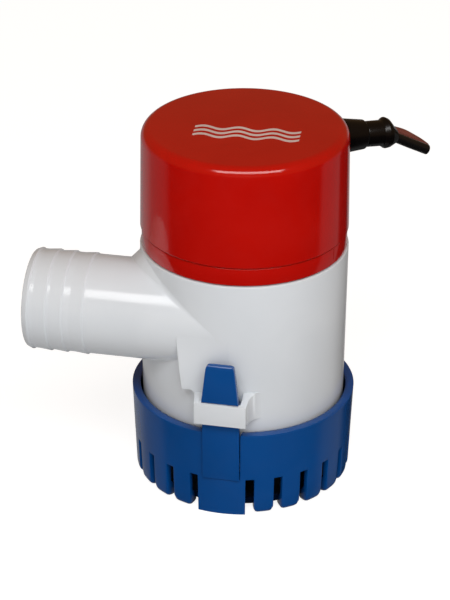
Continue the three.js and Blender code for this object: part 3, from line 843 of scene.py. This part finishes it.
finished("impeller_moulding", impeller(), acetal, "rotor", "impeller")

# ---- Motor ----
# A brushed permanent-magnet motor: a plated steel can, ferrite magnets, a laminated armature on a
# stainless shaft in bronze bushes, carbon brushes on brass leaves and a moulded end bell.


def metal(name, dark, light, roughness, grain=(400.0, 400.0, 60.0)):
    """Bare or plated metal with fine marks that run one way, and stains in its gloss."""
    material, tree, surface = new_material(name)
    place = tree.nodes.new("ShaderNodeTexCoord").outputs["Object"]
    stain = node(tree, "TexNoise", {"Vector": place, "Scale": 90.0, "Detail": 4.0}).outputs["Fac"]
    tree.links.new(ramp(tree, stain, [(0.3, dark), (0.7, light)]), surface.inputs["Base Color"])
    along = node(tree, "Mapping", {"Vector": place, "Scale": grain}).outputs["Vector"]
    lines = node(tree, "TexNoise", {"Vector": along, "Scale": 6.0, "Detail": 3.0}).outputs["Fac"]
    gloss = node(tree, "MapRange", {"Value": lines, "To Min": roughness, "To Max": roughness + 0.18})
    tree.links.new(gloss.outputs["Result"], surface.inputs["Roughness"])
    bump = node(tree, "Bump", {"Height": lines, "Strength": 0.12, "Distance": 0.00005})
    tree.links.new(bump.outputs["Normal"], surface.inputs["Normal"])
    surface.inputs["Metallic"].default_value = 1.0
    return material


def repaint(material, *names):
    """Gives CAD nodes a material."""
    for name in names:
        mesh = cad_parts[name].data
        mesh.materials.clear()
        mesh.materials.append(material)


zinc = metal("zinc_plate", (0.50, 0.50, 0.46), (0.62, 0.62, 0.58), 0.30)
stainless = metal("stainless", (0.55, 0.56, 0.57), (0.64, 0.65, 0.66), 0.18)
laminations = metal("laminations", (0.20, 0.20, 0.21), (0.33, 0.33, 0.34), 0.42, grain=(20.0, 20.0, 3000.0))
bronze = metal("oiled_bronze", (0.28, 0.18, 0.08), (0.40, 0.27, 0.14), 0.45, grain=(300.0, 300.0, 300.0))
brass = metal("brass_strip", (0.52, 0.37, 0.14), (0.64, 0.47, 0.20), 0.26)
copper = metal("copper_wire", (0.45, 0.15, 0.06), (0.63, 0.26, 0.12), 0.32, grain=(30.0, 30.0, 900.0))
ferrite = moulded_plastic("ferrite", (0.035, 0.035, 0.038), (0.055, 0.055, 0.058), 0.62, texture=0.2)
carbon = moulded_plastic("carbon", (0.02, 0.02, 0.022), (0.04, 0.04, 0.042), 0.55, texture=0.25)
black = (0.004, 0.003, 0.003)
black_nylon = moulded_plastic("black_nylon", (0.002, 0.0014, 0.0014), black, 0.26, texture=0.1, shine=0.28)
rubber = moulded_plastic("black_rubber", (0.002, 0.0015, 0.0015), black, 0.22, texture=0.15, shine=0.32)

repaint(zinc, "motor_can")
repaint(stainless, "motor_shaft", "seal_retainer")
repaint(laminations, "armature_core")
repaint(bronze, "lower_bearing", "upper_bearing")
repaint(brass, "brush_spring_left", "brush_spring_right", "terminal_left", "terminal_right")
repaint(copper, "armature_windings", "commutator")
repaint(ferrite, "magnet_left", "magnet_right")
repaint(carbon, "brush_left", "brush_right")
repaint(acetal, "thrust_washer")
repaint(black_nylon, "end_bell", "gland_nut")
repaint(rubber, "housing_seal", "shaft_seal")

# ---- Motor housing ----
# The watertight cup round the motor is red ABS. Its flange shows as a narrow band under the cap,
# and its spigot and seal ring plug the top of the body.

red_dark = (0.41, 0.003, 0.0012)
red_light = (0.45, 0.0045, 0.002)
red_plastic = moulded_plastic("red_plastic", red_dark, red_light, 0.09, texture=0.02)

housing_low, housing_high = reach("motor_housing")
band_radius = housing_high.x
cup_radius = 20.6


def motor_housing():
    """The cup, its spigot with a seal groove, a wiring trough and the band, spun in one."""
    band_low = 73.85
    spigot = 27.55
    spigot_low = 66
    groove_low = 68.8
    groove_high = 71.2
    groove_depth = 2
    trough_wall = 23.5
    trough_low = 68.4
    pocket = 6.6
    pocket_top = 29.0
    cup_wall = 2
    cup_floor = 29.6
    shaft_hole = 3.6
    outline = [
        (pocket, housing_low.z),
        (pocket + 2, housing_low.z, 0.3),
        (pocket + 2, housing_low.z + 1.4),
        (cup_radius, housing_low.z + 1.4, 1.0),
        (cup_radius, spigot_low, 0.6),
        (spigot, spigot_low, 0.5),
        (spigot, groove_low, 0.15),
        (spigot - groove_depth, groove_low),
        (spigot - groove_depth, groove_high),
        (spigot, groove_high, 0.15),
        (spigot, band_low),
        (band_radius, band_low, 0.25),
        (band_radius, housing_high.z, 0.25),
        (trough_wall, housing_high.z),
        (trough_wall, trough_low, 0.5),
        (cup_radius, trough_low, 0.5),
        (cup_radius, housing_high.z),
        (cup_radius - cup_wall, housing_high.z),
        (cup_radius - cup_wall, cup_floor),
        (shaft_hole, cup_floor),
        (shaft_hole, pocket_top),
        (pocket, pocket_top),
    ]
    cup = spun(rounded(outline, steps=3), steps=192)
    # A short witness line is cut in the band.
    line_half = 0.16
    line_depth = 0.35
    line_low = 75.3
    line_high = housing_high.z - 0.4
    low = (band_radius - line_depth, -line_half, line_low)
    high = (band_radius + 1, line_half, line_high)
    line = box_shape(low, high)
    line.transform(Matrix.Rotation(math.radians(-20.4), 4, "Z"))
    return cut_away(cup, line)


housing = motor_housing()
finished("motor_housing_moulding", housing, red_plastic, "pump", "motor_housing", crease=35)

# ---- Cap ----
# The cap is glossy red ABS, welded to the housing over the wiring. Its top carries a small printed
# mark, here three plain waves.

cap_low, cap_high = reach("motor_cap")
cap_radius = cap_high.x
cap_wall = 2.0
cap_draft = 0.45


def cap_shell():
    """The cap, spun from its half section: open below, with a rounded top edge."""
    top = cap_high.z
    outline = [
        (0, top - cap_wall),
        (cap_radius - cap_draft - cap_wall, top - cap_wall, 1.2),
        (cap_radius - cap_wall, cap_low.z),
        (cap_radius, cap_low.z, 0.3),
        (cap_radius - cap_draft, top, 3.0),
        (0, top),
    ]
    return spun(rounded(outline, steps=9), steps=256, closed=False)


finished("motor_cap_moulding", cap_shell(), red_plastic, "pump", "motor_cap", crease=35)

print_white = moulded_plastic("print_white", (0.60, 0.50, 0.48), (0.68, 0.58, 0.56), 0.30, texture=0.10)


def printed_wave(row):
    """One printed wave, a thin raised ribbon of ink."""
    length = 30.0
    height = 0.95
    crests = 3
    stroke = 1.25
    row_pitch = 2.75
    ink = 0.05
    buried = 0.02
    steps = 96
    bm = bmesh.new()
    outline = []
    for side in (1, -1):
        for step in range(steps + 1):
            share = step / steps if side < 0 else 1 - step / steps
            x = (share - 0.5) * length
            swell = height * math.sin(share * crests * 2 * math.pi)
            outline.append((x, swell + side * stroke / 2 + row * row_pitch))
    face = bm.faces.new([bm.verts.new((x, y, cap_high.z - buried)) for x, y in outline])
    swept = bmesh.ops.extrude_face_region(bm, geom=[face])
    top = [item for item in swept["geom"] if isinstance(item, bmesh.types.BMVert)]
    bmesh.ops.translate(bm, verts=top, vec=(0, 0, ink + buried))
    bmesh.ops.recalc_face_normals(bm, faces=bm.faces)
    return bm


cap_print = joined(*[printed_wave(row) for row in (-1, 0, 1)])
cap_print.transform(Matrix.Translation((1.4, -5.0, 0)) @ Matrix.Rotation(math.radians(4.3), 4, "Z"))
finished("cap_print", cap_print, print_white, "pump", None)

# ---- Cable gland ----
# A black nylon flange is clamped in the cap's side by a nut inside. A rubber boot on its end closes
# round the two leads and takes their strain.

gland_azimuth = math.radians(36)
gland_droop = math.radians(6)
gland_place = (
    Matrix.Rotation(gland_azimuth, 4, "Z")
    @ Matrix.Translation((29.8, 0, 100.9))
    @ Matrix.Rotation(math.pi / 2 + gland_droop, 4, "Y")
)


def gland_flange():
    """The shank through the cap's wall, and the tapered flange outside it."""
    outline = [(0, -7), (4.2, -7, 0.4), (4.2, -1.2), (5.15, -1.2), (5.1, 0.6), (4.3, 7.8, 0.5), (0, 7.8)]
    bm = spun(rounded(outline, steps=4), steps=64, closed=False)
    bm.transform(gland_place)
    return bm


def gland_boot():
    """The boot. Past its collar, the mouth is flattened over the two leads and droops with them."""
    sleeve = [(0, 7.9), (3.75, 7.9, 0.3), (3.8, 13.4, 1.0), (4.6, 14.5, 0.5), (4.5, 15.7, 0.5)]
    mouth = [(3.4, 17.9, 0.7), (0, 17.9)]
    collar = 15.2
    run = 2.4
    flattened = 0.30
    widened = 0.06
    drooped = 0.6
    bm = spun(rounded(sleeve + mouth), steps=64, closed=False)
    for vert in bm.verts:
        past = max(0, min(1, (vert.co.z - collar) / run))
        vert.co.x *= 1 - flattened * past
        vert.co.x += drooped * past
        vert.co.y *= 1 + widened * past
    bm.transform(gland_place)
    return bm


finished("gland_flange", gland_flange(), black_nylon, "pump", "gland_body")
finished("gland_boot_moulding", gland_boot(), rubber, "pump", "gland_boot")

# ---- Leads ----
# Two stranded copper leads in PVC, brown and black, run from the motor's terminals through the
# gland and end cut square a short way outside it.

lead_diameter = 3.0
lead_routes = {
    "brown": [
        (0, 95.9, 9),
        (1.4, 99.4, 8.8),
        (7.5, 102.4, 6.2),
        (15, 102.7, 3.2),
        (22, 101.9, 1.9),
        (30, 101, 1.65),
        (34, 100.66, 1.65),
        (38, 100.3, 1.65),
        (43.5, 99.7, 1.65),
        (47.2, 98.8, 1.65),
        (49.5, 97.92, 1.65),
        (51.6, 96.9, 1.65),
        (54.3, 95.1, 1.65),
        (57, 93.1, 1.7),
        (59.2, 91.2, 1.75),
    ],
    "black": [
        (0, 95.9, -9),
        (1.4, 99.2, -8.8),
        (7.5, 101.9, -6.2),
        (15, 102.1, -3.2),
        (22, 101.3, -1.9),
        (30, 100.4, -1.65),
        (34, 100.07, -1.65),
        (38, 99.7, -1.65),
        (43, 99.1, -1.65),
        (45, 98.68, -1.65),
        (47, 98.1, -1.65),
        (49.8, 96.6, -1.65),
        (52.5, 95.1, -1.65),
        (55.3, 93.6, -1.65),
        (57.9, 92.2, -1.65),
    ],
}
insulation = {
    "brown": moulded_plastic(
        "brown_insulation", (0.12, 0.032, 0.025), (0.19, 0.055, 0.042), 0.34, texture=0.1
    ),
    "black": moulded_plastic(
        "black_insulation", (0.003, 0.0028, 0.003), (0.006, 0.0055, 0.006), 0.24, texture=0.1, shine=0.35
    ),
}


def in_gland_plane(out, height, spread):
    """A point given by its distance from the pump's axis, its height and its offset to the left."""
    x = out * math.cos(gland_azimuth) - spread * math.sin(gland_azimuth)
    y = out * math.sin(gland_azimuth) + spread * math.cos(gland_azimuth)
    return Vector((x, y, height))


def lead(colour):
    """One lead: a tube along its route, from its terminal to its cut end."""
    route = [in_gland_plane(*point) * MM for point in lead_routes[colour]]
    curve = bpy.data.curves.new(f"{colour}_lead", "CURVE")
    curve.dimensions = "3D"
    curve.resolution_u = 10
    curve.bevel_depth = lead_diameter / 2 * MM
    curve.bevel_resolution = 7
    curve.use_fill_caps = True
    spline = curve.splines.new("BEZIER")
    spline.bezier_points.add(len(route) - 1)
    for point, place in zip(spline.bezier_points, route):
        point.co = place
        point.handle_left_type = "AUTO"
        point.handle_right_type = "AUTO"
    piece = bpy.data.objects.new(f"{colour}_lead", curve)
    curve.materials.append(insulation[colour])
    scene.collection.objects.link(piece)
    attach(piece, "pump")
    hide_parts(f"lead_{colour}")


def lead_core(colour):
    """The cut strands that show in the end of a lead: six round one."""
    end = in_gland_plane(*lead_routes[colour][-1])
    before = in_gland_plane(*lead_routes[colour][-2])
    heading = (end - before).normalized().to_track_quat("Z", "Y").to_matrix().to_4x4()
    strand = 0.27
    proud = 0.05
    bm = bmesh.new()
    for i in range(7):
        turn = math.radians(60 * i)
        off = 0 if i == 6 else 2 * strand
        shift = Matrix.Translation((off * math.cos(turn), off * math.sin(turn), proud))
        bmesh.ops.create_cone(
            bm, cap_ends=True, segments=16, radius1=strand, radius2=strand * 0.8, depth=0.5, matrix=shift
        )
    bm.transform(Matrix.Translation(end) @ heading)
    return bm


for colour in ("brown", "black"):
    lead(colour)
    finished(f"{colour}_lead_strands", lead_core(colour), copper, "pump", None)
